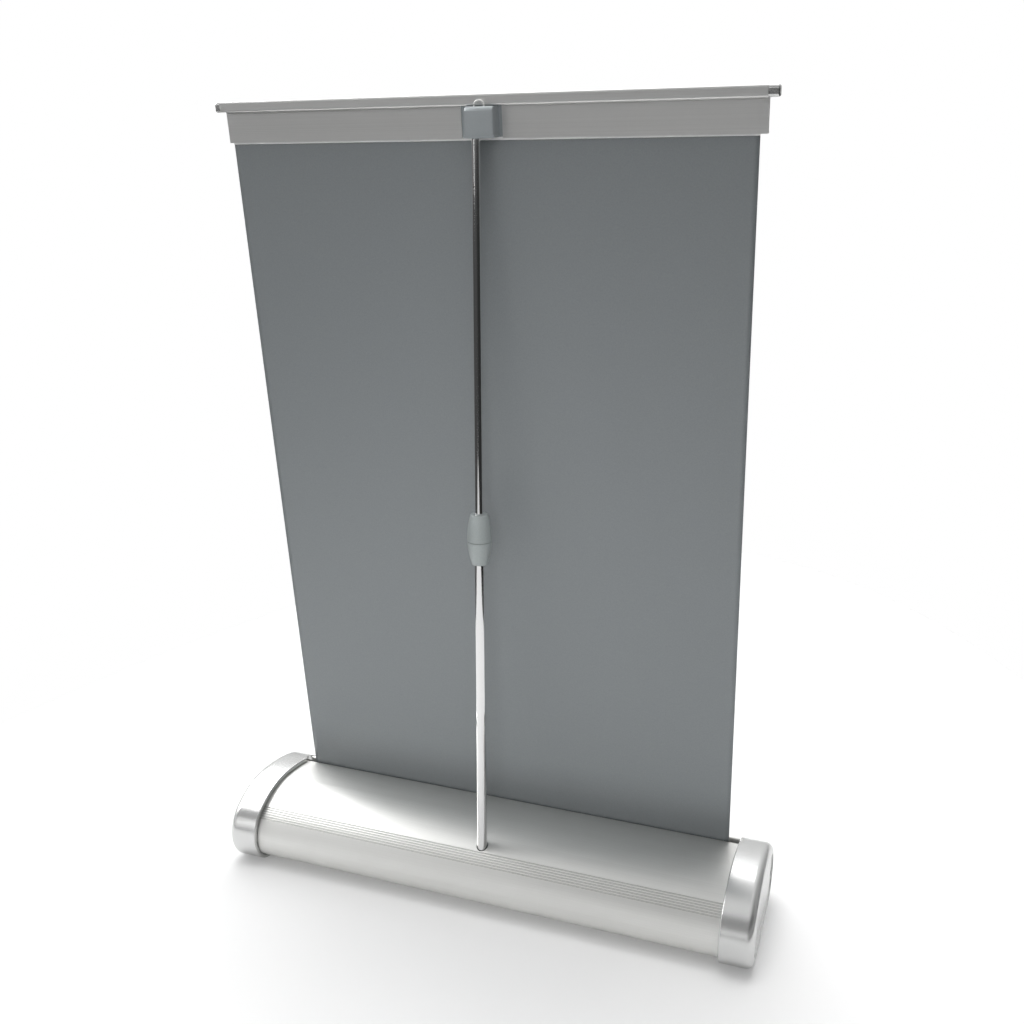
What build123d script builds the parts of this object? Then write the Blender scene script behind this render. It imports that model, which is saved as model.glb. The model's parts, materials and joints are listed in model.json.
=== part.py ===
from build123d import *
import math
import os

# Desktop roll-up banner stand. Millimetres, +Z up, the graphic faces -Y.
# Origin: centre of the footprint, on the surface that the stand rests on.

# ---- driving dimensions ----
film_width = 297.0            # printed film, edge to edge
film_height = 424.3           # film that shows between slot and top rail
film_thickness = 0.3
film_centre_x = 1.2
lean_deg = 6.9                # the film leans back from the vertical

housing_length = 312.0
housing_wall = 1.6
back_y = 44.3                 # rearmost line of the housing
belly_z = 21.0                # height of that line
bottom_z = 2.5                # flat underside of the housing
slot_y = -28.6                # where the film leaves the housing
slot_z = 43.1

cap_length = 18.5
cap_proud = 3.2               # the caps stand out past the housing
cap_sole_proud = 2.3          # but less underneath, where the rubber feet stand lower still
cap_overlap = 1.6             # how far their rims reach back over the housing
rim_gap = 0.7
cap_wall = 2.2
cap_edge_radius = 5.0

roller_y = slot_y + 12.0
roller_z = 22.0
wound_radius = 12.0           # middle of the outermost turn of film

pole_x = -1.5
pole_y = 28.3
tube_radius = 3.1
tube_bore = 2.63
rod_radius = 2.55
rod_bore = 2.1
socket_floor_z = 20.0
barrel_bottom_z = 230.0
barrel_seam_z = 244.1
barrel_top_z = 260.3
barrel_radius = 7.15
rod_bottom_z = 216.0

rail_length = 303.2
rail_centre_x = 0.6
rail_bottom_w = 425.3         # w is measured up the film from the slot
plate_top_w = 443.0
bead_u = 4.0                  # u is measured backwards, square to the film
bead_w = 444.7
head_size = 5.6               # the square head along the top of the rear extrusion
head_corner = 0.9
socket_inner = 1.7
bead_radius = 1.62

clip_x = -5.0
clip_width = 16.0
notch_x = -3.6
notch_width = 22.8
clip_back_u = 11.5
clip_bottom_w = 426.2
clip_top_w = 441.7

lean = math.radians(lean_deg)
film_plane = Plane(
    origin=(0, slot_y, slot_z),
    x_dir=(1, 0, 0),
    z_dir=(0, math.sin(lean), math.cos(lean)),
)


def polar(centre, radius, degrees):
    angle = math.radians(degrees)
    return (centre[0] + radius * math.cos(angle), centre[1] + radius * math.sin(angle))


# ---- base outline: tangent arcs in the Y-Z plane, named from the rear foot round to the front ----
back_radius = 20.5
back_sweep = 55.0
shoulder_radius = 53.5
top_radius = 117.4
top_sweep = 16.6
nose_radius = 22.0

back = (back_y - back_radius, belly_z)
shoulder = polar(back, back_radius - shoulder_radius, back_sweep)
top = (shoulder[0], shoulder[1] + shoulder_radius - top_radius)
nose = polar(top, top_radius - nose_radius, 90 + top_sweep)


def base_outline(grow, sole_grow=None):
    """The base's outline, moved outwards by grow, as a face with local X = Y and local Y = Z."""
    sole_z = bottom_z - (grow if sole_grow is None else sole_grow)
    heel_radius = belly_z - sole_z
    heel = (back_y + grow - heel_radius, belly_z)
    toe_radius = nose[1] - sole_z
    toe = (nose[0] - nose_radius - grow + toe_radius, nose[1])
    arcs = [
        CenterArc(heel, heel_radius, -90, 90),
        CenterArc(back, back_radius + grow, 0, back_sweep),
        CenterArc(shoulder, shoulder_radius + grow, back_sweep, 90 - back_sweep),
        CenterArc(top, top_radius + grow, 90, top_sweep),
        CenterArc(nose, nose_radius + grow, 90 + top_sweep, 90 - top_sweep),
        CenterArc(toe, toe_radius, 180, 90),
    ]
    sole = Line((toe[0], sole_z), (heel[0], sole_z))
    return make_face(arcs + [sole])


def along_x(face, x_from, x_to):
    """A Y-Z face extruded from one x to another."""
    return extrude(Plane.YZ.offset(x_from) * face, amount=x_to - x_from)


def rod_x(y, z, radius, x_from, x_to):
    return along_x(Pos(y, z) * Circle(radius), x_from, x_to)


def rod_z(x, y, radius, z_from, z_to):
    return extrude(Pos(x, y, z_from) * Circle(radius), amount=z_to - z_from)


def tube_z(outer, inner, z_from, z_to):
    ring = Circle(outer) - Circle(inner)
    return extrude(Pos(pole_x, pole_y, z_from) * ring, amount=z_to - z_from)


def block(x, y, z):
    """A box from three (low, high) pairs."""
    size = [high - low for low, high in (x, y, z)]
    middle = [(high + low) / 2 for low, high in (x, y, z)]
    return Pos(*middle) * Box(*size)


def turned(points_and_lines):
    """A solid of revolution about the pole's axis, from a closed (radius, z) outline."""
    face = make_face(points_and_lines)
    solid = revolve(Plane.XZ * face, axis=Axis.Z)
    return Pos(pole_x, pole_y, 0) * solid


def film_box(x, u, w):
    """A box in the leaning film's own axes: x, u backwards, w upwards."""
    return film_plane.location * block(x, u, w)


parts = {}

# ---- housing ----
half_housing = housing_length / 2
slot_front = -30.1
slot_back = -27.3
lip_thickness = 1.7
lip_top_z = 44.0
port_y = 37.5
port_z = 20.5
port_radius = 3.2
screw_hole = 1.5
groove_count = 6
groove_pitch = 1.6
groove_radius = 0.45


def groove_point(distance):
    """A point on the outline, the given distance down from where the grooves begin."""
    start = 58.7
    on_shoulder = math.radians(start - back_sweep) * shoulder_radius
    if distance < on_shoulder:
        return polar(shoulder, shoulder_radius, start - math.degrees(distance / shoulder_radius))
    left_over = distance - on_shoulder
    return polar(back, back_radius, back_sweep - math.degrees(left_over / back_radius))


def screw_port(side):
    ring = Pos(side * port_y, port_z) * Circle(port_radius)
    web = Pos(side * (port_y + 4.3), port_z) * Rectangle(4.0, 2.4)
    return ring + web


def base_housing():
    shell = base_outline(0) - base_outline(-housing_wall)
    lip_middle = slot_front - lip_thickness / 2
    front_lip = Pos(lip_middle, lip_top_z - 1.9) * Rectangle(lip_thickness, 3.8)
    front_lip += Pos(lip_middle, lip_top_z) * Circle(lip_thickness / 2)
    edge_bead = Pos(slot_back + 1.1, slot_z - 1.2) * Circle(1.1)
    slot = Pos((slot_front + slot_back) / 2, slot_z) * Rectangle(slot_back - slot_front, 8.0)
    section = shell + screw_port(1) + screw_port(-1) - slot + front_lip + edge_bead
    for side in (1, -1):
        section -= Pos(side * port_y, port_z) * Circle(screw_hole)
        section -= Pos(side * (port_y - 2.4), port_z) * Rectangle(2.6, 1.2)
    for index in range(groove_count):
        section -= Pos(*groove_point(index * groove_pitch)) * Circle(groove_radius)
    solid = along_x(section, -half_housing, half_housing)
    rim_reach = cap_overlap + 0.4
    trim = base_outline(8.0) - base_outline(0.05)
    solid -= along_x(trim, half_housing - rim_reach, half_housing)
    solid -= along_x(trim, -half_housing, -half_housing + rim_reach)
    return solid - rod_z(pole_x, pole_y, 3.6, 30, 60)


parts["base_housing"] = base_housing()

# ---- end caps ----
spigot_reach = 6.0
spigot_gap = 0.25
spigot_wall = 1.6
web_thickness = 2.0
face_thickness = 2.5
recess_depth = 0.8
head_radius = 2.5
head_height = 1.7
shaft_radius = 3.0
pivot_radius = 4.0
running_gap = 0.06


def end_cap(bore_radius, bore_depth, boss_from):
    """The cap at +X: a hollow moulding with a spigot that fits inside the housing."""
    inner_x = half_housing
    outer_x = inner_x + cap_length
    outside = along_x(base_outline(cap_proud, cap_sole_proud), inner_x - cap_overlap, outer_x)
    rim = outside.faces().sort_by(Axis.X)[-1].edges()
    outside = fillet(rim, cap_edge_radius)
    rim = outside.faces().sort_by(Axis.X)[0].edges()
    outside = fillet(rim, 0.6)
    outside -= along_x(base_outline(rim_gap), inner_x - cap_overlap, inner_x)
    spigot_size = -housing_wall - spigot_gap
    spigot = along_x(base_outline(spigot_size), inner_x - spigot_reach, inner_x)
    narrow = along_x(
        base_outline(spigot_size - spigot_wall), inner_x - spigot_reach, inner_x + web_thickness
    )
    wide = along_x(
        base_outline(cap_proud - cap_wall, cap_sole_proud - cap_wall),
        inner_x + web_thickness,
        outer_x - face_thickness,
    )
    cap = outside + spigot - narrow - wide
    for side in (1, -1):
        cap -= rod_x(side * port_y, port_z, port_radius + 0.4, inner_x - spigot_reach, inner_x)
        cap -= along_x(
            Pos(side * (port_y + 4.0), port_z) * Rectangle(8.0, 3.2), inner_x - spigot_reach, inner_x
        )
        cap += rod_x(side * port_y, port_z, port_radius + 0.6, inner_x, outer_x - face_thickness)
    cap -= block((inner_x - spigot_reach, inner_x), (slot_y - 5.0, slot_y + 4.0), (slot_z - 7.0, 60))
    cap += rod_x(roller_y, roller_z, bore_radius + 3.0, boss_from, outer_x - face_thickness)
    cap -= rod_x(roller_y, roller_z, bore_radius, boss_from, boss_from + bore_depth)
    recess = base_outline(-3.4, -4.0)
    cap -= along_x(recess, outer_x - recess_depth, outer_x)
    for side in (1, -1):
        cap -= rod_x(side * port_y, port_z, screw_hole + 0.2, inner_x - 1, outer_x)
        cap -= rod_x(side * port_y, port_z, head_radius + 0.2, outer_x - 2.8, outer_x)
    return cap


def cap_screw(side):
    """One pan-head screw at +X, with a cross recess in its head."""
    seat_x = half_housing + cap_length - 2.8
    shank = rod_x(side * port_y, port_z, screw_hole - 0.02, half_housing - 10, seat_x)
    head = rod_x(side * port_y, port_z, head_radius, seat_x, seat_x + head_height)
    head_edge = head.edges().filter_by(GeomType.CIRCLE).sort_by(Axis.X)[-1]
    head = fillet(head_edge, 0.7)
    screw = shank + head
    for width, height in ((3.0, 0.7), (0.7, 3.0)):
        cross = Pos(side * port_y, port_z) * Rectangle(width, height)
        screw -= along_x(cross, seat_x + head_height - 0.9, seat_x + head_height)
    return screw


def mirrored(solid):
    return mirror(solid, about=Plane.YZ)


shaft_cap_boss = 153.0
pivot_cap_boss = 151.0
parts["left_end_cap"] = end_cap(shaft_radius, 15.0, shaft_cap_boss)
parts["right_end_cap"] = mirrored(end_cap(pivot_radius + running_gap, 12.0, pivot_cap_boss))
left_screws = [cap_screw(1), cap_screw(-1)]
parts["left_cap_screws"] = Compound(left_screws)
parts["right_cap_screws"] = Compound([mirrored(screw) for screw in left_screws])

# ---- roller and spring ----
roller_half = 149.5
roller_outer = 10.0
roller_inner = 8.8
roller_from = film_centre_x - roller_half
roller_to = film_centre_x + roller_half
film_from = film_centre_x - film_width / 2
film_to = film_centre_x + film_width / 2
plug_reach = 12.0
spring_from = 66.0
spring_to = 128.0


def roller_ring(outer, inner, x_from, x_to):
    ring = Pos(roller_y, roller_z) * (Circle(outer) - Circle(inner))
    return along_x(ring, x_from, x_to)


def torsion_spring():
    """The close-wound spring, drawn as one ribbed sleeve: each rib is a turn of wire."""
    wire = 0.7
    pitch = 2 * wire
    turns = int((spring_to - spring_from) / pitch)
    sleeve = Rectangle(turns * pitch, 1.0)
    sleeve = Pos((spring_from + spring_to) / 2, 5.2) * sleeve
    middle = (spring_from + spring_to) / 2
    for index in range(turns):
        x = middle + (index - (turns - 1) / 2) * pitch
        sleeve += Pos(x, 5.2) * Circle(wire)
    solid = revolve(sleeve, axis=Axis.X)
    return Pos(0, roller_y, roller_z) * solid


parts["roller_tube"] = roller_ring(roller_outer, roller_inner, roller_from, roller_to)
parts["wound_film"] = roller_ring(wound_radius - 0.3, roller_outer + 0.02, film_from, film_to)
parts["spring_shaft"] = rod_x(roller_y, roller_z, shaft_radius, 50.0, shaft_cap_boss + 15.0)
parts["torsion_spring"] = torsion_spring()
parts["spring_anchor"] = roller_ring(6.5, shaft_radius, spring_to + 1.0, spring_to + 8.0)
parts["spring_drive_plug"] = roller_ring(roller_inner, shaft_radius + running_gap, 54.0, 65.0)
parts["roller_bush"] = (
    roller_ring(roller_inner, shaft_radius + running_gap, roller_to - plug_reach, roller_to)
    + roller_ring(roller_outer, shaft_radius + running_gap, roller_to, roller_to + 1.2)
)
parts["idle_plug"] = (
    rod_x(roller_y, roller_z, roller_inner, roller_from, roller_from + plug_reach)
    + rod_x(roller_y, roller_z, roller_outer, roller_from - 1.2, roller_from)
    + rod_x(roller_y, roller_z, pivot_radius, -pivot_cap_boss - 11.0, roller_from)
)

# ---- pole socket and rubber feet ----
socket_top_z = 36.0
inner_volume = along_x(base_outline(-housing_wall - 0.05), -half_housing, half_housing)
socket_column = rod_z(pole_x, pole_y, 5.5, bottom_z, socket_top_z)
socket_foot = block((pole_x - 14, pole_x + 14), (16, 34), (bottom_z, bottom_z + housing_wall + 2.4))
pole_socket = (socket_column + socket_foot) & inner_volume
parts["pole_socket"] = pole_socket - rod_z(
    pole_x, pole_y, tube_radius + running_gap, socket_floor_z, socket_top_z
)

foot_x = 120.0
feet = []
for x in (-foot_x, foot_x):
    for y in (-19.0, 19.0):
        foot = block((x - 16, x + 16), (y - 4.5, y + 4.5), (0, bottom_z))
        feet.append(fillet(foot.edges().filter_by(Axis.Z), 2.0))
parts["rubber_feet"] = Compound(feet)

# ---- telescopic pole ----
tube_foot_z = socket_floor_z + 1.5
tube_top_z = 238.0
neck_radius = 4.6
neck_top_z = 254.0
collar_gap = 0.25
rod_top_z = 474.0
tip_top_z = 479.2


def pole_foot():
    """The plug that closes the bottom of the lower tube."""
    flange = rod_z(pole_x, pole_y, tube_radius - 0.05, socket_floor_z, tube_foot_z)
    return flange + rod_z(pole_x, pole_y, tube_bore - 0.02, tube_foot_z, tube_foot_z + 6.5)


def barrel_lower():
    """The fixed half of the twist lock, with a neck that the collar turns on."""
    low = barrel_bottom_z
    seam = barrel_seam_z
    outline = [
        Line((tube_radius + 0.02, low), (4.1, low)),
        ThreePointArc((4.1, low), (4.45, low + 0.15), (4.65, low + 0.55)),
        ThreePointArc((4.65, low + 0.55), (6.35, low + 7.0), (barrel_radius, seam)),
        Line((barrel_radius, seam), (neck_radius, seam)),
        Line((neck_radius, seam), (neck_radius, neck_top_z)),
        Line((neck_radius, neck_top_z), (rod_radius + 0.1, neck_top_z)),
        Line((rod_radius + 0.1, neck_top_z), (rod_radius + 0.1, tube_top_z + 0.1)),
        Line((rod_radius + 0.1, tube_top_z + 0.1), (tube_radius + 0.02, tube_top_z + 0.1)),
        Line((tube_radius + 0.02, tube_top_z + 0.1), (tube_radius + 0.02, low)),
    ]
    return turned(outline)


def twist_collar():
    """The half that is turned by hand, shaped to carry on the lower half's curve."""
    low = barrel_seam_z + collar_gap
    high = barrel_top_z
    bore = neck_radius + running_gap
    cavity_top = high - 1.4
    mouth = rod_radius + 0.2
    outline = [
        Line((bore, low), (barrel_radius, low)),
        ThreePointArc((barrel_radius, low), (6.8, low + 8.0), (5.3, high - 0.5)),
        ThreePointArc((5.3, high - 0.5), (5.1, high - 0.13), (4.75, high)),
        Line((4.75, high), (mouth, high)),
        Line((mouth, high), (mouth, cavity_top)),
        Line((mouth, cavity_top), (bore, cavity_top)),
        Line((bore, cavity_top), (bore, low)),
    ]
    return turned(outline)


def lock_collet():
    """The split ring that the collar squeezes on to the rod."""
    inner = rod_radius + 0.07
    low = neck_top_z + 0.3
    high = barrel_top_z - 1.7
    outline = [
        Line((inner, low), (4.4, low)),
        Line((4.4, low), (3.7, high)),
        Line((3.7, high), (inner, high)),
        Line((inner, high), (inner, low)),
    ]
    ring = turned(outline)
    return ring - block((pole_x, pole_x + 6), (pole_y - 0.5, pole_y + 0.5), (low, high))


def rod_guide():
    """The plug in the bottom of the rod, a sliding fit in the lower tube."""
    flange = rod_z(pole_x, pole_y, tube_bore - running_gap, rod_bottom_z - 3.0, rod_bottom_z)
    return flange + rod_z(pole_x, pole_y, rod_bore - 0.02, rod_bottom_z, rod_bottom_z + 6.0)


def pole_tip():
    """The round-nosed plug in the top of the rod, which the rail's clip sits on."""
    dome_z = tip_top_z - rod_radius
    plug = rod_z(pole_x, pole_y, rod_bore - 0.02, rod_top_z - 6.0, rod_top_z)
    collar = rod_z(pole_x, pole_y, rod_radius, rod_top_z, dome_z)
    dome = Pos(pole_x, pole_y, dome_z) * Sphere(rod_radius)
    return plug + collar + dome


parts["pole_foot"] = pole_foot()
parts["pole_lower_tube"] = tube_z(tube_radius, tube_bore, tube_foot_z, tube_top_z)
parts["barrel_lower"] = barrel_lower()
parts["lock_collet"] = lock_collet()
parts["twist_collar"] = twist_collar()
parts["rod_guide"] = rod_guide()
parts["pole_upper_rod"] = tube_z(rod_radius, rod_bore, rod_bottom_z, rod_top_z)
parts["pole_tip"] = pole_tip()

# ---- top rail, in the film's own axes ----
rail_from = rail_centre_x - rail_length / 2
rail_to = rail_centre_x + rail_length / 2
plate_u = (0.6, 2.0)
front_plate_u = (-1.7, -0.25)
socket_open_from = 119.0
socket_open_to = 201.0
end_setback = 6.0
plate_setback = 1.0            # the plates stop short of the head at the +X end


def section_along_rail(face, x_from, x_to):
    """A (u, w) face extruded along the rail."""
    return film_plane.location * along_x(face, x_from, x_to)


def rect(u, w):
    return Pos((u[0] + u[1]) / 2, (w[0] + w[1]) / 2) * Rectangle(u[1] - u[0], w[1] - w[0])


def rail_back_profile():
    """The rear extrusion: a plate with an open round socket along its top edge."""
    centre = (bead_u, bead_w)
    reach = 7.0
    wedge = make_face([
        Line(centre, polar(centre, reach, socket_open_from)),
        Line(polar(centre, reach, socket_open_from), polar(centre, reach, socket_open_to)),
        Line(polar(centre, reach, socket_open_to), centre),
    ])
    plate = rect(plate_u, (rail_bottom_w, plate_top_w))
    head = Pos(*centre) * RectangleRounded(head_size, head_size, head_corner)
    head = head - Pos(*centre) * Circle(socket_inner) - wedge
    rail = section_along_rail(head, rail_from, rail_to)
    rail += section_along_rail(plate, rail_from, rail_to - plate_setback)
    notch_half = notch_width / 2
    return rail - film_box(
        (notch_x - notch_half, notch_x + notch_half), (0, 2.5), (rail_bottom_w - 1, 441.9)
    )


def rail_front_profile():
    """The front extrusion: it hangs from a bead that turns in the rear one's socket."""
    neck = rect((front_plate_u[0], bead_u - 1.2), (bead_w - 0.5, bead_w + 0.5))
    plate = rect(front_plate_u, (rail_bottom_w, bead_w + 0.5))
    finger_lip = rect((-2.7, -1.5), (rail_bottom_w, rail_bottom_w + 1.3))
    section = plate + neck + finger_lip + Pos(bead_u, bead_w) * Circle(bead_radius)
    rail = section_along_rail(section, rail_from + end_setback, rail_to - end_setback)
    ends = section_along_rail(plate + finger_lip, rail_from, rail_to - plate_setback)
    return rail + ends


def rail_end_plug(x_from, x_to, spigot_to):
    """A moulded plug for the head: a rounded block outside and a round spigot in the bore."""
    outline = Pos(bead_u, bead_w) * RectangleRounded(head_size - 0.1, head_size - 0.1, 1.5)
    head = section_along_rail(outline, x_from, x_to)
    outer_face = head.faces().sort_by(Axis.X)[-1 if x_to > 0 else 0]
    head = fillet(outer_face.edges(), 1.1)
    low, high = sorted((spigot_to, x_from if x_to > 0 else x_to))
    return head + section_along_rail(Pos(bead_u, bead_w) * Circle(socket_inner), low, high)


def clip_plan(x_from, x_to, front_u, corner_u, middle_u):
    """The clip seen from above: straight sides and a back that bulges in the middle."""
    return make_face([
        Line((x_from, front_u), (x_to, front_u)),
        Line((x_to, front_u), (x_to, corner_u)),
        ThreePointArc((x_to, corner_u), (clip_x, middle_u), (x_from, corner_u)),
        Line((x_from, corner_u), (x_from, front_u)),
    ])


def along_w(face, w_from, w_to):
    return extrude(Pos(0, 0, w_from) * face, amount=w_to - w_from)


def pole_clip():
    """The moulded pocket that hooks over the pole's tip, in the notch of the rear extrusion."""
    half = clip_width / 2
    wall = 1.5
    low, high = clip_x - half, clip_x + half
    web_u = (0.7, 1.35)
    corner_u = clip_back_u - 1.4
    body = along_w(clip_plan(low, high, web_u[0], corner_u, clip_back_u), clip_bottom_w, clip_top_w)
    crown = body.edges().filter_by(GeomType.CIRCLE).sort_by(Axis.Z)[-1]
    body = fillet(crown, 2.4)
    upright = body.edges().filter_by(Axis.Z).sort_by(Axis.Y)[-2:]
    body = fillet(upright, 0.9)
    pocket = clip_plan(low + wall, high - wall, web_u[1], corner_u - wall, clip_back_u - wall)
    notch_half = notch_width / 2
    web = block((notch_x - notch_half, notch_x + notch_half), web_u, (clip_bottom_w, clip_top_w))
    lip = along_w(
        clip_plan(low - 0.6, high + 0.6, web_u[1], corner_u + 0.6, clip_back_u + 0.6),
        clip_bottom_w,
        clip_bottom_w + 1.0,
    )
    return film_plane.location * (body + lip + web - along_w(pocket, clip_bottom_w - 1, clip_top_w - 1.6))


def clip_loop():
    """A small wire loop standing on the clip."""
    wire = 0.5
    radius = 2.7
    height = clip_top_w - 0.6
    ring = Pos(clip_x, 8.2, height + 0.8) * Rot(90, 0, 0) * Torus(radius, wire)
    upper = block((clip_x - 4, clip_x + 4), (6, 10), (clip_top_w, clip_top_w + 5))
    return film_plane.location * (ring & upper)


parts["rail_back_profile"] = rail_back_profile()
parts["rail_front_profile"] = rail_front_profile()
parts["left_rail_plug"] = rail_end_plug(rail_to, rail_to + 3.1, rail_to - end_setback + 0.4)
parts["right_rail_plug"] = rail_end_plug(rail_from - 5.6, rail_from, rail_from + end_setback - 0.4)
parts["grip_strip"] = film_box((film_from, film_to), (0.17, 0.55), (film_height + 0.1, 440.0))
parts["pole_clip"] = pole_clip()
parts["clip_loop"] = clip_loop()

# ---- film: straight from the rail to the slot, then down to the roller ----
film_top_w = 441.0
half_thick = film_thickness / 2


def banner_sheet():
    bend = math.tan(lean / 2) * half_thick
    rear = (slot_y + half_thick, slot_z + bend)
    front = (slot_y - half_thick, slot_z - bend)
    up = (math.sin(lean), math.cos(lean))
    rise = film_top_w - bend
    fall = film_top_w + bend
    rear_top = (rear[0] + up[0] * rise, rear[1] + up[1] * rise)
    front_top = (front[0] + up[0] * fall, front[1] + up[1] * fall)
    corners = [
        (slot_y + half_thick, roller_z),
        rear,
        rear_top,
        front_top,
        front,
        (slot_y - half_thick, roller_z),
    ]
    return along_x(make_face(Polyline(*corners, close=True)), film_from, film_to)


parts["banner_sheet"] = banner_sheet()

os.makedirs("parts", exist_ok=True)
for name, solid in parts.items():
    export_step(solid, f"parts/{name}.step")
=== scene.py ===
import json
import math
import bpy
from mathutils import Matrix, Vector


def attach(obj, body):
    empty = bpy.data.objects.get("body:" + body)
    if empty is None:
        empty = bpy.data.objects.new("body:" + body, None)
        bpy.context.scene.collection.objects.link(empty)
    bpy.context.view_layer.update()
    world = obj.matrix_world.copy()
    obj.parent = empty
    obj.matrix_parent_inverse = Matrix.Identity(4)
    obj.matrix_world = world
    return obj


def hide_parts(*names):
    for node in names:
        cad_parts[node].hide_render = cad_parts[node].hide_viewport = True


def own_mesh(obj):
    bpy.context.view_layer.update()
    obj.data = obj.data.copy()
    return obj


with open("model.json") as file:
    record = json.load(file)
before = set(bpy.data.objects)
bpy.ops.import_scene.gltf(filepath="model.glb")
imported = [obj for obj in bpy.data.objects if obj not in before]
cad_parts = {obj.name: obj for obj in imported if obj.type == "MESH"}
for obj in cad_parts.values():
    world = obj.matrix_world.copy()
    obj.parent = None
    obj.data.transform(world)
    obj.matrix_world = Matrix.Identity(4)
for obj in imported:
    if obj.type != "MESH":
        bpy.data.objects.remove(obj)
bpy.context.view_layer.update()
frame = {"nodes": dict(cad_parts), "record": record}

cadNodes = frame["nodes"]
scene = bpy.context.scene
scene.view_settings.view_transform = "Standard"

print("camera")
viewpoint = {
    "place": (-0.2245, 0.5878, 0.4376),
    "target": (0.0243, -0.0979, 0.2243),
    "lens": 38.33,
    "sensor": 36.0,
    "nearest": 0.02,
}
cameraData = bpy.data.cameras.new("camera")
cameraData.lens = viewpoint["lens"]
cameraData.sensor_width = viewpoint["sensor"]
cameraData.clip_start = viewpoint["nearest"]
camera = bpy.data.objects.new("camera", cameraData)
camera.location = viewpoint["place"]
lookLine = Vector(viewpoint["target"]) - Vector(viewpoint["place"])
camera.rotation_euler = lookLine.to_track_quat("-Z", "Y").to_euler()
scene.collection.objects.link(camera)
scene.camera = camera


def putNode(tree, kind, links=(), **settings):
    # links are pairs: this node's input, and the socket that feeds it
    # settings fill the inputs with those names, or else the node's own properties
    node = tree.nodes.new(kind)
    for key, value in settings.items():
        label = key.replace("_", " ")
        if label in node.inputs:
            node.inputs[label].default_value = value
        else:
            setattr(node, key, value)
    for target, source in links:
        tree.links.new(source, node.inputs[target])
    return node


def calculated(tree, operation, first, second):
    # each of the two values is a socket or a plain number
    step = putNode(tree, "ShaderNodeMath", operation=operation)
    for socket, value in zip(step.inputs, (first, second)):
        if isinstance(value, (int, float)):
            socket.default_value = value
        else:
            tree.links.new(value, socket)
    return step.outputs["Value"]


def mapRange(tree, source, fromSpan, toSpan=(0.0, 1.0)):
    # carries the source from one span to the other, and holds it at the ends
    span = putNode(
        tree, "ShaderNodeMapRange", [("Value", source)],
        From_Min=fromSpan[0], From_Max=fromSpan[1], To_Min=toSpan[0], To_Max=toSpan[1],
    )
    return span.outputs["Result"]


def newPiece(name, corners, faces):
    mesh = bpy.data.meshes.new(name)
    mesh.from_pydata(corners, [], faces)
    mesh.validate()
    mesh.update()
    piece = bpy.data.objects.new(name, mesh)
    scene.collection.objects.link(piece)
    return piece


print("room")
room = {
    # pairs: upward part of the direction looked in, and how bright the room is there
    "poleSide": [
        (-0.02, 0.06), (0.05, 0.10), (0.09, 0.92), (0.22, 0.84), (0.40, 0.25), (0.74, 0.26), (0.92, 0.74),
    ],
    "graphicSide": [(-0.04, 0.10), (0.02, 0.66), (0.40, 0.74), (0.55, 0.92), (0.90, 0.80), (0.98, 0.70)],
    "sideSpan": (0.2, -0.25),   # where one side turns into the other, along Y
    "dimSpan": (-0.6, -0.1),    # the room dims towards -X over this span
    "dimmest": 0.4,
}


def shadeRamp(tree, height, shades):
    ramp = putNode(tree, "ShaderNodeValToRGB", [("Fac", height)])
    stops = ramp.color_ramp.elements
    while len(stops) < len(shades):
        stops.new(0.5)
    for stop, (up, shade) in zip(stops, shades):
        stop.position = (up + 1.0) / 2.0
        stop.color = (shade, shade, shade, 1.0)
    return ramp.outputs["Color"]


def addRoom():
    # the metal mirrors this room, and the camera sees a plain white backdrop in its place
    world = bpy.data.worlds.new("studioRoom")
    world.use_nodes = True
    tree = world.node_tree
    direction = putNode(tree, "ShaderNodeTexCoord")
    along = putNode(tree, "ShaderNodeSeparateXYZ", [("Vector", direction.outputs["Generated"])]).outputs
    height = mapRange(tree, along["Z"], (-1.0, 1.0))
    blend = putNode(
        tree, "ShaderNodeMixRGB",
        [("Fac", mapRange(tree, along["Y"], room["sideSpan"])),
         ("Color1", shadeRamp(tree, height, room["poleSide"])),
         ("Color2", shadeRamp(tree, height, room["graphicSide"]))],
    )
    walls = tree.nodes["Background"]
    tree.links.new(blend.outputs["Color"], walls.inputs["Color"])
    dimming = mapRange(tree, along["X"], room["dimSpan"], (room["dimmest"], 1.0))
    tree.links.new(dimming, walls.inputs["Strength"])
    backdrop = putNode(tree, "ShaderNodeBackground", Color=(1.0, 1.0, 1.0, 1.0))
    rays = putNode(tree, "ShaderNodeLightPath")
    choice = putNode(tree, "ShaderNodeMixShader", [("Fac", rays.outputs["Is Camera Ray"])])
    tree.links.new(walls.outputs["Background"], choice.inputs[1])
    tree.links.new(backdrop.outputs["Background"], choice.inputs[2])
    tree.links.new(choice.outputs["Shader"], tree.nodes["World Output"].inputs["Surface"])
    scene.world = world


addRoom()

print("lamps")
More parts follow.
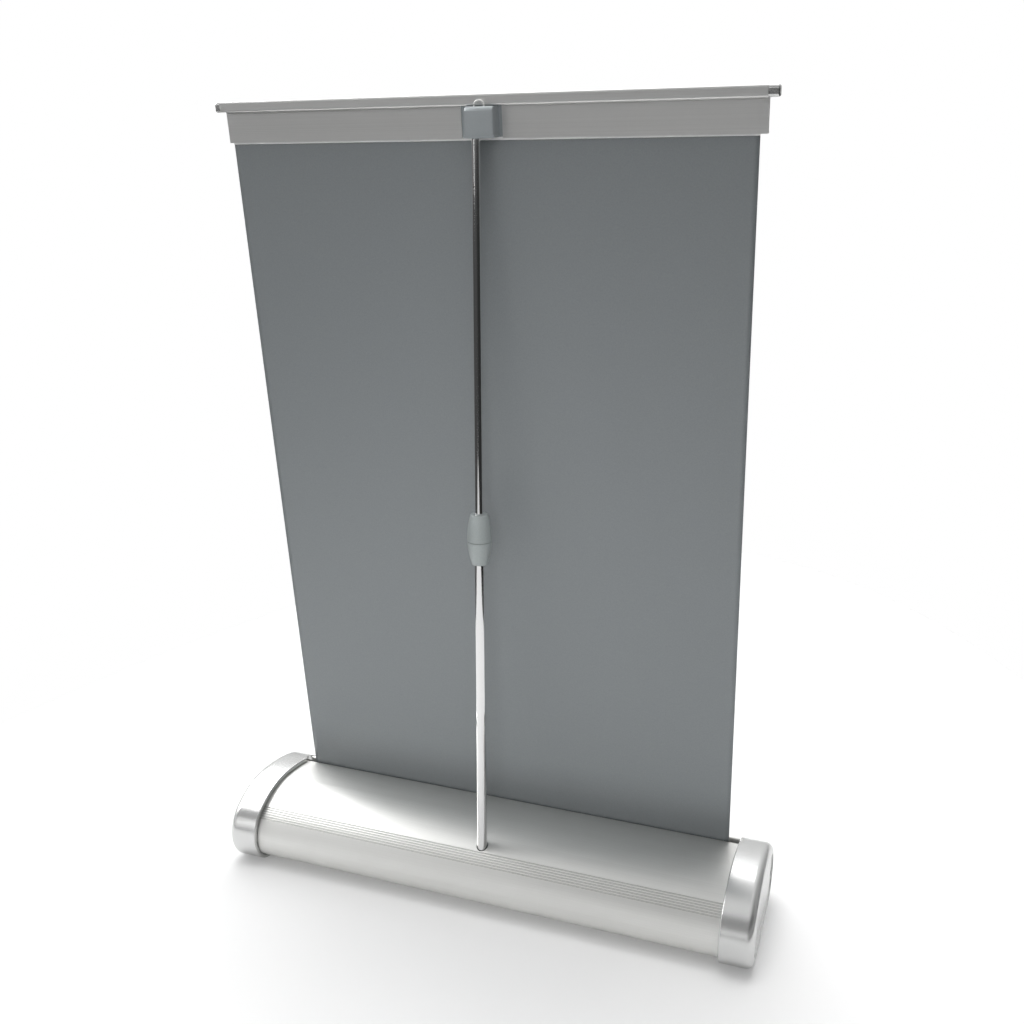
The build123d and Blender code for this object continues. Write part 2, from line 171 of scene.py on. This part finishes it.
# mirrored lamps show in the metal, and lighting lamps fall on matt surfaces
lamps = [
    {"name": "window", "place": (0.54, -0.93, 1.19), "aim": (0.0, 0.0, 0.15), "size": (1.4, 1.0),
     "watts": 7.5, "spread": 180.0, "mirrored": True, "lighting": True},
    {"name": "leftBox", "place": (1.24, -0.15, 1.04), "aim": (0.0, 0.0, 0.1), "size": (1.2, 0.9),
     "watts": 22.0, "spread": 180.0, "mirrored": True, "lighting": False},
    {"name": "strip", "place": (0.85, 1.25, 0.68), "aim": (0.0, 0.0, 0.45), "size": (0.12, 0.5),
     "watts": 0.5, "spread": 180.0, "mirrored": True, "lighting": True},
    {"name": "ceiling", "place": (0.0, -0.1, 1.7), "aim": (0.0, 0.0, 0.0), "size": (0.9, 0.9),
     "watts": 13.5, "spread": 180.0, "mirrored": False, "lighting": True},
    {"name": "behind", "place": (-0.3, 1.2, 0.45), "aim": (0.06, 0.0, 0.14), "size": (0.4, 0.4),
     "watts": 0.21, "spread": 42.0, "mirrored": False, "lighting": True},
    {"name": "tableLamp", "place": (-0.05, 0.5, 1.2), "aim": (0.0, 0.35, 0.0), "size": (0.5, 0.5),
     "watts": 0.4, "spread": 66.0, "mirrored": False, "lighting": True},
]


def addLamp(plan):
    lampData = bpy.data.lights.new(plan["name"], "AREA")
    lampData.shape = "RECTANGLE"
    lampData.size, lampData.size_y = plan["size"]
    lampData.energy = plan["watts"]
    lampData.spread = math.radians(plan["spread"])
    lamp = bpy.data.objects.new(plan["name"], lampData)
    lamp.location = plan["place"]
    lampLine = Vector(plan["aim"]) - Vector(plan["place"])
    lamp.rotation_euler = lampLine.to_track_quat("-Z", "Y").to_euler()
    lamp.visible_camera = False
    lamp.visible_glossy = plan["mirrored"]
    lamp.visible_diffuse = plan["lighting"]
    scene.collection.objects.link(lamp)


for lampPlan in lamps:
    addLamp(lampPlan)


def newFinish(name, colour, roughness, metallic=0.0, **extras):
    # a Principled material with its plain values on the shader's own sockets
    finish = bpy.data.materials.new(name)
    finish.use_nodes = True
    shader = finish.node_tree.nodes["Principled BSDF"]
    shader.inputs["Base Color"].default_value = (*colour, 1.0)
    shader.inputs["Roughness"].default_value = roughness
    shader.inputs["Metallic"].default_value = metallic
    for socket, value in extras.items():
        shader.inputs[socket.replace("_", " ")].default_value = value
    return finish


def feed(finish, socket, source):
    shader = finish.node_tree.nodes["Principled BSDF"]
    finish.node_tree.links.new(source, shader.inputs[socket])


def grainOf(finish, scale, detail):
    # fine noise, drawn out where the scale differs from axis to axis
    tree = finish.node_tree
    coords = putNode(tree, "ShaderNodeTexCoord")
    mapping = putNode(tree, "ShaderNodeMapping", [("Vector", coords.outputs["Object"])], Scale=scale)
    noise = putNode(
        tree, "ShaderNodeTexNoise", [("Vector", mapping.outputs["Vector"])], Scale=1.0, Detail=detail
    )
    return noise.outputs["Fac"]


grainSpan = (0.3, 0.7)   # most of the noise lies between these


def tinted(finish, grain, dark, light):
    # gives the colour back, for a finish that shades it further
    ramp = putNode(finish.node_tree, "ShaderNodeValToRGB", [("Fac", grain)])
    for stop, place, colour in zip(ramp.color_ramp.elements, grainSpan, (dark, light)):
        stop.position = place
        stop.color = (*colour, 1.0)
    feed(finish, "Base Color", ramp.outputs["Color"])
    return ramp.outputs["Color"]


def worn(finish, grain, smoothest, roughest):
    # patches of the surface are a little rougher than others
    feed(finish, "Roughness", mapRange(finish.node_tree, grain, grainSpan, (smoothest, roughest)))


# the painted shade in nooks fades out over this span of openness
paintedShadeSpan = (0.45, 0.92)  # how open the surface is, from its darkest to its own colour


def paintedNookShade(finish, tint, reach, darkest):
    # painted shade: grooves and corners get a darker base colour where something else is within reach,
    # standing in for the shade that falls in them
    tree = finish.node_tree
    nook = putNode(tree, "ShaderNodeAmbientOcclusion", Distance=reach, samples=6)
    depth = mapRange(tree, nook.outputs["AO"], paintedShadeSpan, (darkest, 1.0))
    shaded = putNode(tree, "ShaderNodeVectorMath", [(0, tint), ("Scale", depth)], operation="SCALE")
    feed(finish, "Base Color", shaded.outputs["Vector"])


def bumped(finish, grain, strength, distance):
    bump = putNode(
        finish.node_tree, "ShaderNodeBump", [("Height", grain)], Strength=strength, Distance=distance
    )
    feed(finish, "Normal", bump.outputs["Normal"])


print("table")
tableTop = {"middle": (0.0, 0.25), "half": (0.5, 1.0), "corners": 96, "shade": 0.8, "glow": 0.13}


def tableFinish():
    finish = newFinish(
        "tablePaint", (tableTop["shade"],) * 3, roughness=0.9, Emission_Color=(1.0, 1.0, 1.0, 1.0)
    )
    rays = putNode(finish.node_tree, "ShaderNodeLightPath")
    glow = calculated(finish.node_tree, "MULTIPLY", rays.outputs["Is Camera Ray"], tableTop["glow"])
    feed(finish, "Emission Strength", glow)
    return finish


def addTable():
    rim = []
    for i in range(tableTop["corners"]):
        turn = math.tau * i / tableTop["corners"]
        rimX = tableTop["middle"][0] + tableTop["half"][0] * math.cos(turn)
        rimY = tableTop["middle"][1] + tableTop["half"][1] * math.sin(turn)
        rim.append((rimX, rimY, 0.0))
    table = newPiece("table", rim, [tuple(range(len(rim)))])
    table.data.materials.append(tableFinish())


addTable()

print("finishes")


def anodisedFinish():
    finish = newFinish("anodisedHousing", (0.86, 0.86, 0.84), roughness=0.5, metallic=1.0)
    dieLines = grainOf(finish, (2.0, 5200.0, 5200.0), detail=2.0)
    tint = tinted(finish, dieLines, (0.85, 0.85, 0.83), (0.9, 0.9, 0.88))
    worn(finish, dieLines, 0.48, 0.53)
    bumped(finish, dieLines, strength=0.08, distance=0.00001)
    # painted shade in the rib grooves and tight corners of the housing
    paintedNookShade(finish, tint, reach=0.0012, darkest=0.62)
    return finish


def railFinish():
    finish = newFinish("anodisedRail", (0.84, 0.84, 0.83), roughness=0.42, metallic=1.0)
    dieLines = grainOf(finish, (2.0, 5200.0, 5200.0), detail=2.0)
    tinted(finish, dieLines, (0.81, 0.81, 0.80), (0.87, 0.87, 0.86))
    worn(finish, dieLines, 0.4, 0.46)
    bumped(finish, dieLines, strength=0.08, distance=0.00001)
    return finish


def silverMoulding():
    finish = newFinish("silverMoulding", (0.77, 0.775, 0.77), roughness=0.27, metallic=0.95)
    flakes = grainOf(finish, (2600.0, 2600.0, 2600.0), detail=2.0)
    tinted(finish, flakes, (0.74, 0.745, 0.74), (0.80, 0.805, 0.80))
    bumped(finish, flakes, strength=0.12, distance=0.00002)
    return finish


def chromeFinish():
    finish = newFinish("chromedTube", (0.88, 0.88, 0.88), roughness=0.08, metallic=1.0)
    polish = grainOf(finish, (700.0, 700.0, 60.0), detail=4.0)
    worn(finish, polish, 0.05, 0.12)
    bumped(finish, polish, strength=0.06, distance=0.00002)
    return finish


def barrelFinish():
    finish = newFinish("greyBarrel", (0.42, 0.46, 0.46), roughness=0.36, metallic=0.15, Coat_Weight=0.2)
    grain = grainOf(finish, (1800.0, 1800.0, 1800.0), detail=3.0)
    tinted(finish, grain, (0.40, 0.44, 0.44), (0.45, 0.49, 0.49))
    bumped(finish, grain, strength=0.15, distance=0.00003)
    return finish


def filmBackFinish():
    finish = newFinish("filmBack", (0.264, 0.286, 0.296), roughness=0.45)
    grain = grainOf(finish, (1400.0, 1400.0, 1400.0), detail=4.0)
    tint = tinted(finish, grain, (0.258, 0.279, 0.289), (0.282, 0.305, 0.316))
    # painted shade on the film where the housing, the rail and the pole stand close
    paintedNookShade(finish, tint, reach=0.035, darkest=0.68)
    bumped(finish, grain, strength=0.1, distance=0.00002)
    return finish


def filmFrontFinish():
    finish = newFinish("filmFront", (0.86, 0.86, 0.85), roughness=0.42)
    grain = grainOf(finish, (1300.0, 1300.0, 1300.0), detail=4.0)
    tinted(finish, grain, (0.84, 0.84, 0.83), (0.88, 0.88, 0.87))
    bumped(finish, grain, strength=0.12, distance=0.00003)
    return finish


def rubberFinish():
    finish = newFinish("padRubber", (0.03, 0.03, 0.03), roughness=0.8)
    grain = grainOf(finish, (2500.0, 2500.0, 2500.0), detail=4.0)
    tinted(finish, grain, (0.02, 0.02, 0.02), (0.05, 0.05, 0.05))
    bumped(finish, grain, strength=0.4, distance=0.0001)
    return finish


def blackMoulding():
    finish = newFinish("blackMoulding", (0.03, 0.03, 0.03), roughness=0.45)
    grain = grainOf(finish, (1600.0, 1600.0, 1600.0), detail=3.0)
    tinted(finish, grain, (0.025, 0.025, 0.025), (0.045, 0.045, 0.045))
    bumped(finish, grain, strength=0.2, distance=0.00004)
    return finish


def whiteStrip():
    finish = newFinish("whiteStrip", (0.95, 0.95, 0.94), roughness=0.35)
    grain = grainOf(finish, (200.0, 1600.0, 1600.0), detail=3.0)
    tinted(finish, grain, (0.93, 0.93, 0.92), (0.97, 0.97, 0.96))
    bumped(finish, grain, strength=0.1, distance=0.00002)
    return finish


def steelFinish(name):
    finish = newFinish(name, (0.7, 0.7, 0.7), roughness=0.25, metallic=1.0)
    polish = grainOf(finish, (900.0, 900.0, 900.0), detail=4.0)
    tinted(finish, polish, (0.64, 0.64, 0.64), (0.76, 0.76, 0.75))
    worn(finish, polish, 0.18, 0.34)
    return finish


def clipFinish():
    finish = newFinish(
        "clipMoulding", (0.5, 0.54, 0.56), roughness=0.34, metallic=0.3, Coat_Weight=0.6, Coat_Roughness=0.2
    )
    flakes = grainOf(finish, (2600.0, 2600.0, 2600.0), detail=2.0)
    tinted(finish, flakes, (0.48, 0.52, 0.54), (0.52, 0.56, 0.58))
    bumped(finish, flakes, strength=0.12, distance=0.00002)
    return finish


def loopFinish():
    finish = newFinish("wireLoop", (0.92, 0.92, 0.9), roughness=0.45, metallic=0.45)
    polish = grainOf(finish, (1500.0, 1500.0, 1500.0), detail=3.0)
    tinted(finish, polish, (0.88, 0.88, 0.86), (0.94, 0.94, 0.92))
    return finish


finishes = {
    "anodised_aluminium": anodisedFinish(),
    "rail_aluminium": railFinish(),
    "silver_plastic": silverMoulding(),
    "plated_steel": steelFinish("platedSteel"),
    "plain_steel": steelFinish("plainSteel"),
    "chromed_tube": chromeFinish(),
    "grey_plastic": barrelFinish(),
    "white_plastic": whiteStrip(),
    "black_plastic": blackMoulding(),
    "black_rubber": rubberFinish(),
    "banner_film": filmBackFinish(),
}
filmFront = filmFrontFinish()


def paint(piece, finish):
    piece.data.materials.clear()
    piece.data.materials.append(finish)


for part in frame["record"]["subparts"]:
    paint(cadNodes[part["node"]], finishes[part["material_slot"]])
paint(cadNodes["pole_clip"], clipFinish())
paint(cadNodes["clip_loop"], loopFinish())

print("film")
film = {
    "width": 0.297,
    "centreX": 0.0012,
    "thickness": 0.0003,
    "slot": (-0.0286, 0.0431),   # Y and Z where it leaves the housing
    "lean": math.radians(6.9),
    "tailBottom": 0.0050,        # Z of its lower end, beside the roller
    "topReach": 0.4263,          # up the film from the slot, just inside the rail
    "hemTop": 0.441,
    "bow": 0.0016,               # how far the middle stands back
    "columns": 96,
    "tailRows": 8,
    "openRows": 140,
    "hemRows": 4,
    "retract": 0.18,             # how far the rod brings the rail down
}


def filmPoint(across, reach):
    # across runs from 0 to 1 over the width, and reach is up the film from the slot
    x = film["centreX"] + (across - 0.5) * film["width"]
    slotY, slotZ = film["slot"]
    if reach <= 0:
        return Vector((x, slotY, slotZ + reach))
    share = reach / film["topReach"]
    fullness = 0.6 + 0.4 * math.cos(math.tau * (across - 0.5))   # a fifth as much at the side edges
    sway = film["bow"] * math.sin(math.pi * share) * fullness
    y = slotY + reach * math.sin(film["lean"]) + sway * math.cos(film["lean"])
    z = slotZ + reach * math.cos(film["lean"]) - sway * math.sin(film["lean"])
    return Vector((x, y, z))


def applyModifiers(piece):
    depsgraph = bpy.context.evaluated_depsgraph_get()
    flat = bpy.data.meshes.new_from_object(piece.evaluated_get(depsgraph))
    piece.modifiers.clear()
    piece.data = flat


def filmPiece(name, reaches):
    # a sheet with a row at each reach, off-white on one face and grey on the other
    columns = film["columns"]
    stride = columns + 1
    corners = [filmPoint(i / columns, reach) for reach in reaches for i in range(stride)]
    faces = []
    for row in range(len(reaches) - 1):
        for i in range(columns):
            start = row * stride + i
            faces.append((start, start + 1, start + stride + 1, start + stride))
    piece = newPiece(name, corners, faces)
    for face in piece.data.polygons:
        face.use_smooth = True
    piece.data.materials.append(filmFront)
    piece.data.materials.append(finishes["banner_film"])
    shell = piece.modifiers.new("thickness", "SOLIDIFY")
    shell.thickness = film["thickness"]
    shell.offset = 0.0
    shell.material_offset = 1
    shell.material_offset_rim = 1
    applyModifiers(piece)
    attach(piece, "top_rail")
    return piece


def evenSteps(start, end, count):
    return [start + (end - start) * i / count for i in range(count + 1)]


tailReaches = evenSteps(film["tailBottom"] - film["slot"][1], 0.0, film["tailRows"])[:-1]
openReaches = evenSteps(0.0, film["topReach"], film["openRows"])
bannerFilm = filmPiece("bannerFilm", tailReaches + openReaches)
bannerHem = filmPiece("bannerHem", evenSteps(film["topReach"], film["hemTop"], film["hemRows"]))
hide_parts("banner_sheet")
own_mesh(bannerFilm)

print("repeating pieces")


def growTree(name, amounts):
    # an empty tree with an input for each of the amounts
    tree = bpy.data.node_groups.new(name, "GeometryNodeTree")
    for label, amount in amounts.items():
        kind = "NodeSocketInt" if isinstance(amount, int) else "NodeSocketFloat"
        tree.interface.new_socket(label, in_out="INPUT", socket_type=kind)
    tree.interface.new_socket("Geometry", in_out="OUTPUT", socket_type="NodeSocketGeometry")
    return tree, tree.nodes.new("NodeGroupInput").outputs


def growPiece(name, tree, shape, amounts, finish, smooth=False):
    # ends the tree, runs it once and keeps the result as a plain mesh
    shaded = putNode(tree, "GeometryNodeSetShadeSmooth", [("Geometry", shape)], Shade_Smooth=smooth)
    whole = putNode(tree, "GeometryNodeRealizeInstances", [("Geometry", shaded.outputs["Geometry"])])
    painted = putNode(
        tree, "GeometryNodeSetMaterial", [("Geometry", whole.outputs["Geometry"])], Material=finish
    )
    putNode(tree, "NodeGroupOutput", [("Geometry", painted.outputs["Geometry"])])
    piece = newPiece(name, [], [])
    growth = piece.modifiers.new("growth", "NODES")
    growth.node_group = tree
    for socket in tree.interface.items_tree:
        if socket.in_out == "INPUT":
            growth[socket.identifier] = amounts[socket.name]
    piece.update_tag()
    applyModifiers(piece)
    return piece


def vectorOf(tree, **parts):
    # a vector of the sockets given for X, Y and Z, with 0 for the rest
    return putNode(tree, "ShaderNodeCombineXYZ", parts.items()).outputs["Vector"]


def moved(tree, shape, links=(), **settings):
    change = putNode(tree, "GeometryNodeTransform", [("Geometry", shape), *links], **settings)
    return change.outputs["Geometry"]


def swept(tree, path, section):
    skin = putNode(
        tree, "GeometryNodeCurveToMesh",
        [("Curve", path.outputs["Curve"]), ("Profile Curve", section.outputs["Curve"])], Fill_Caps=True,
    )
    return skin.outputs["Mesh"]


def joined(tree, *shapes):
    parts = [("Geometry", shape) for shape in shapes]
    return putNode(tree, "GeometryNodeJoinGeometry", parts).outputs["Geometry"]


rollerAxis = (-0.0166, 0.022)        # Y and Z of the line it turns about
alongX = (0.0, math.pi / 2, 0.0)     # lays a shape made along Z down along X

coil = {
    "Turns": 44.0,
    "Wire radius": 0.00068,
    "Coil radius": 0.0052,
    "Length": 0.0602,
    "Start": 0.0669,
}


def coilSpring():
    tree, given = growTree("coilTree", coil)
    path = putNode(
        tree, "GeometryNodeCurveSpiral",
        [("Rotations", given["Turns"]), ("Start Radius", given["Coil radius"]),
         ("End Radius", given["Coil radius"]), ("Height", given["Length"])],
        Resolution=36,
    )
    wire = putNode(
        tree, "GeometryNodeCurvePrimitiveCircle", [("Radius", given["Wire radius"])], Resolution=10
    )
    laid = moved(tree, swept(tree, path, wire), Rotation=alongX)
    along = moved(tree, laid, [("Translation", vectorOf(tree, X=given["Start"]))])
    placed = moved(tree, along, Translation=(0.0, *rollerAxis))
    return growPiece("coilSpring", tree, placed, coil, finishes["plain_steel"], smooth=True)


roll = {
    "Turns": 4.5,
    "Inner radius": 0.01017,
    "Outer radius": 0.01154,
    "Film": 0.00026,
    "Width": 0.2968,
}


def filmRoll():
    tree, given = growTree("rollTree", roll)
    path = putNode(
        tree, "GeometryNodeCurveSpiral",
        [("Rotations", given["Turns"]), ("Start Radius", given["Inner radius"]),
         ("End Radius", given["Outer radius"])],
        Resolution=96, Height=0.0,
    )
    section = putNode(
        tree, "GeometryNodeCurvePrimitiveQuadrilateral",
        [("Width", given["Film"]), ("Height", given["Width"])],
    )
    wrap = swept(tree, path, section)
    laid = moved(tree, wrap, Rotation=alongX, Translation=(film["centreX"], *rollerAxis))
    return growPiece("filmRoll", tree, laid, roll, finishes["banner_film"])


pads = {
    "Across": 0.24,           # between the middles of the left and the right pads
    "Along": 0.038,           # between the middles of the front and the rear pads
    "Pad length": 0.032,
    "Pad width": 0.009,
    "Pad height": 0.0025,     # slab and ribs together
    "Slab height": 0.0017,
    "Ribs": 11,
    "Rib pitch": 0.0028,
    "Rib width": 0.0014,
    "Rib length": 0.0086,
    "Rib height": 0.00085,
}


def ribRow(tree, given):
    # each pad is made hanging down from height 0, and its ribs reach to the bottom of it
    ribSize = vectorOf(tree, X=given["Rib width"], Y=given["Rib length"], Z=given["Rib height"])
    rib = putNode(tree, "GeometryNodeMeshCube", [("Size", ribSize)])
    gaps = calculated(tree, "SUBTRACT", given["Ribs"], 1)
    halfPitch = calculated(tree, "MULTIPLY", given["Rib pitch"], -0.5)
    firstRib = calculated(tree, "MULTIPLY", gaps, halfPitch)
    halfHeight = calculated(tree, "MULTIPLY", given["Rib height"], 0.5)
    ribMiddle = calculated(tree, "SUBTRACT", halfHeight, given["Pad height"])
    row = putNode(
        tree, "GeometryNodeMeshLine",
        [("Count", given["Ribs"]), ("Offset", vectorOf(tree, X=given["Rib pitch"])),
         ("Start Location", vectorOf(tree, X=firstRib, Z=ribMiddle))],
    )
    ribs = putNode(
        tree, "GeometryNodeInstanceOnPoints",
        [("Points", row.outputs["Mesh"]), ("Instance", rib.outputs["Mesh"])],
    )
    return ribs.outputs["Instances"]


def ribbedFeet():
    tree, given = growTree("padTree", pads)
    slabSize = vectorOf(tree, X=given["Pad length"], Y=given["Pad width"], Z=given["Slab height"])
    slab = putNode(tree, "GeometryNodeMeshCube", [("Size", slabSize)])
    slabMiddle = calculated(tree, "MULTIPLY", given["Slab height"], -0.5)
    hung = moved(tree, slab.outputs["Mesh"], [("Translation", vectorOf(tree, Z=slabMiddle))])
    pad = joined(tree, hung, ribRow(tree, given))
    corners = putNode(
        tree, "GeometryNodeMeshGrid", [("Size X", given["Across"]), ("Size Y", given["Along"])],
        Vertices_X=2, Vertices_Y=2,
    )
    fourPads = putNode(
        tree, "GeometryNodeInstanceOnPoints", [("Points", corners.outputs["Mesh"]), ("Instance", pad)]
    )
    raised = [("Translation", vectorOf(tree, Z=given["Pad height"]))]
    placed = moved(tree, fourPads.outputs["Instances"], raised)
    return growPiece("ribbedFeet", tree, placed, pads, finishes["black_rubber"])


screws = {
    "Head radius": 0.0025,
    "Head height": 0.0017,
    "Crown": 0.8,             # width of the head's outer face beside its inner one
    "Recess length": 0.003,
    "Recess width": 0.0007,
    "Recess height": 0.001,
    "Recess middle": 0.0007,  # up from the middle of the head
    "Shank radius": 0.00148,
    "Shank length": 0.0257,
    "Overlap": 0.00005,       # how far the shank runs up into the head
    "Spacing": 0.075,
    "Above table": 0.0205,    # to the screw's middle line
    "Head middle": 0.17255,   # out from the middle of the base
}


def screwHead(tree, given):
    blank = putNode(
        tree, "GeometryNodeMeshCylinder",
        [("Radius", given["Head radius"]), ("Depth", given["Head height"])], Vertices=40,
    )
    crowned = putNode(
        tree, "GeometryNodeScaleElements",
        [("Geometry", blank.outputs["Mesh"]), ("Selection", blank.outputs["Top"]), ("Scale", given["Crown"])],
    )
    longWay, shortWay, upWay = given["Recess length"], given["Recess width"], given["Recess height"]
    raised = [("Translation", vectorOf(tree, Z=given["Recess middle"]))]
    bars = []
    for x, y in ((longWay, shortWay), (shortWay, longWay)):
        bar = putNode(tree, "GeometryNodeMeshCube", [("Size", vectorOf(tree, X=x, Y=y, Z=upWay))])
        bars.append(moved(tree, bar.outputs["Mesh"], raised))
    head = putNode(
        tree, "GeometryNodeMeshBoolean",
        [("Mesh 1", crowned.outputs["Geometry"]), ("Mesh 2", joined(tree, *bars))], operation="DIFFERENCE",
    )
    return head.outputs["Mesh"]


def screwShank(tree, given):
    shank = putNode(
        tree, "GeometryNodeMeshCylinder",
        [("Radius", given["Shank radius"]), ("Depth", given["Shank length"])], Vertices=24,
    )
    both = calculated(tree, "ADD", given["Head height"], given["Shank length"])
    touching = calculated(tree, "MULTIPLY", both, -0.5)
    sunk = vectorOf(tree, Z=calculated(tree, "ADD", touching, given["Overlap"]))
    return moved(tree, shank.outputs["Mesh"], [("Translation", sunk)])


def capScrews(name, side):
    # side is 1 at the +X cap and -1 at the other, and the heads face outwards
    tree, given = growTree(name + "Tree", screws)
    screw = joined(tree, screwHead(tree, given), screwShank(tree, given))
    outward = calculated(tree, "MULTIPLY", given["Head middle"], side)
    halfSpacing = calculated(tree, "MULTIPLY", given["Spacing"], -0.5)
    pair = putNode(
        tree, "GeometryNodeMeshLine",
        [("Offset", vectorOf(tree, Y=given["Spacing"])),
         ("Start Location", vectorOf(tree, X=outward, Y=halfSpacing, Z=given["Above table"]))],
        Count=2,
    )
    placed = putNode(
        tree, "GeometryNodeInstanceOnPoints",
        [("Points", pair.outputs["Mesh"]), ("Instance", screw)],
        Rotation=(0.0, side * math.pi / 2, 0.0),
    )
    return growPiece(name, tree, placed.outputs["Instances"], screws, finishes["plated_steel"])


repeated = [
    (coilSpring(), "torsion_spring", "base", "plain_steel"),
    (filmRoll(), "wound_film", "roller", "banner_film"),
    (ribbedFeet(), "rubber_feet", "base", "black_rubber"),
    (capScrews("leftScrews", 1), "left_cap_screws", "base", "plated_steel"),
    (capScrews("rightScrews", -1), "right_cap_screws", "base", "plated_steel"),
]
for piece, node, body, slotName in repeated:
    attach(piece, body)
    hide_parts(node)
    print(piece.name, len(piece.data.polygons), "faces")
